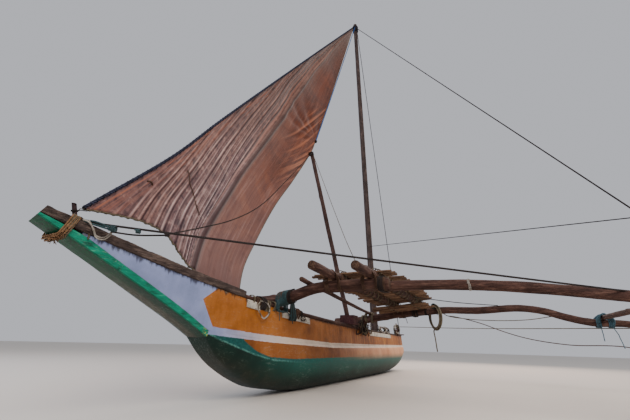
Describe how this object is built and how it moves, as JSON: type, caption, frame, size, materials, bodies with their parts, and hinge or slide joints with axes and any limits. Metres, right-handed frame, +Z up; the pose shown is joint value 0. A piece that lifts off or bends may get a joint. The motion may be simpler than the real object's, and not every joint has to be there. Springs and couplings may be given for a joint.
{
  "type": "outrigger sailing canoe",
  "caption": "Beached wooden outrigger sailing canoe: dug-out hull with plank sides, upswept prow, two lashed booms to a log float, mast, spar and tanned sail.",
  "frame": {"origin": "on the ground under the middle of the keel", "axes": "+X towards the upswept prow, +Y towards the outrigger float, +Z up"},
  "size_m": [8.4744, 5.3255, 9.046],
  "materials": {
    "green_paint": "worn paint",
    "ochre_paint": "worn paint",
    "white_paint": "worn paint",
    "raw_wood": "weathered",
    "pole_wood": "weathered",
    "rope": "laid fibre",
    "teal_rope": "laid fibre",
    "sail_cloth": "worn cotton",
    "line": "laid fibre"
  },
  "bodies": {
    "hull": {"hull_log": "green_paint", "prow_beam": "green_paint", "washstrake_outrigger_side": "ochre_paint", "washstrake_lee_side": "ochre_paint", "stern_board": "ochre_paint", "cleat_board_1": "white_paint", "cleat_board_2": "white_paint", "cleat_board_3": "white_paint", "cleat_board_4": "white_paint", "bow_rail_outrigger_side": "raw_wood", "bow_rail_lee_side": "raw_wood", "aft_cap_outrigger_side": "raw_wood", "aft_cap_lee_side": "raw_wood", "prow_deck": "raw_wood", "thwart_1": "raw_wood", "thwart_2": "raw_wood", "thwart_3": "raw_wood", "thwart_4": "raw_wood", "mast_step": "raw_wood", "boom_bearer": "raw_wood", "float": "raw_wood", "spar_block": "raw_wood", "platform_slat_1": "raw_wood", "platform_slat_2": "raw_wood", "platform_slat_3": "raw_wood", "platform_slat_4": "raw_wood", "platform_slat_5": "raw_wood", "platform_slat_6": "raw_wood", "platform_slat_7": "raw_wood", "pole_rail_outrigger_side": "pole_wood", "pole_rail_lee_side": "pole_wood", "near_boom_inner": "pole_wood", "near_boom_outer": "pole_wood", "far_boom_inner": "pole_wood", "far_boom_outer": "pole_wood", "brace_pole": "pole_wood", "platform_log_1": "pole_wood", "platform_log_2": "pole_wood", "platform_pole": "pole_wood", "prow_peg": "pole_wood", "spar": "pole_wood", "far_hull_lashing": "rope", "near_scarf_lashing": "rope", "far_scarf_lashing": "rope", "near_float_lashing": "rope", "far_float_lashing": "rope", "prow_lashing": "rope", "rope_coil": "rope", "rope_end": "rope", "near_hull_lashing": "teal_rope", "near_brace_lashing": "teal_rope", "far_brace_lashing": "teal_rope", "sail": "sail_cloth", "outrigger_stay": "line", "mid_stay": "line", "prow_guy": "line"},
    "mast": {"mast": "pole_wood", "masthead_lashing": "rope"}
  },
  "joints": [
    {"name": "mast_rake", "type": "hinge", "parent": "hull", "child": "mast", "pos_m": [-2.378, 0.045, 0.135], "axis": [0, 1, 0], "range_deg": [-4, 4], "deforming": ["sail", "outrigger_stay", "mid_stay"]}
  ]
}
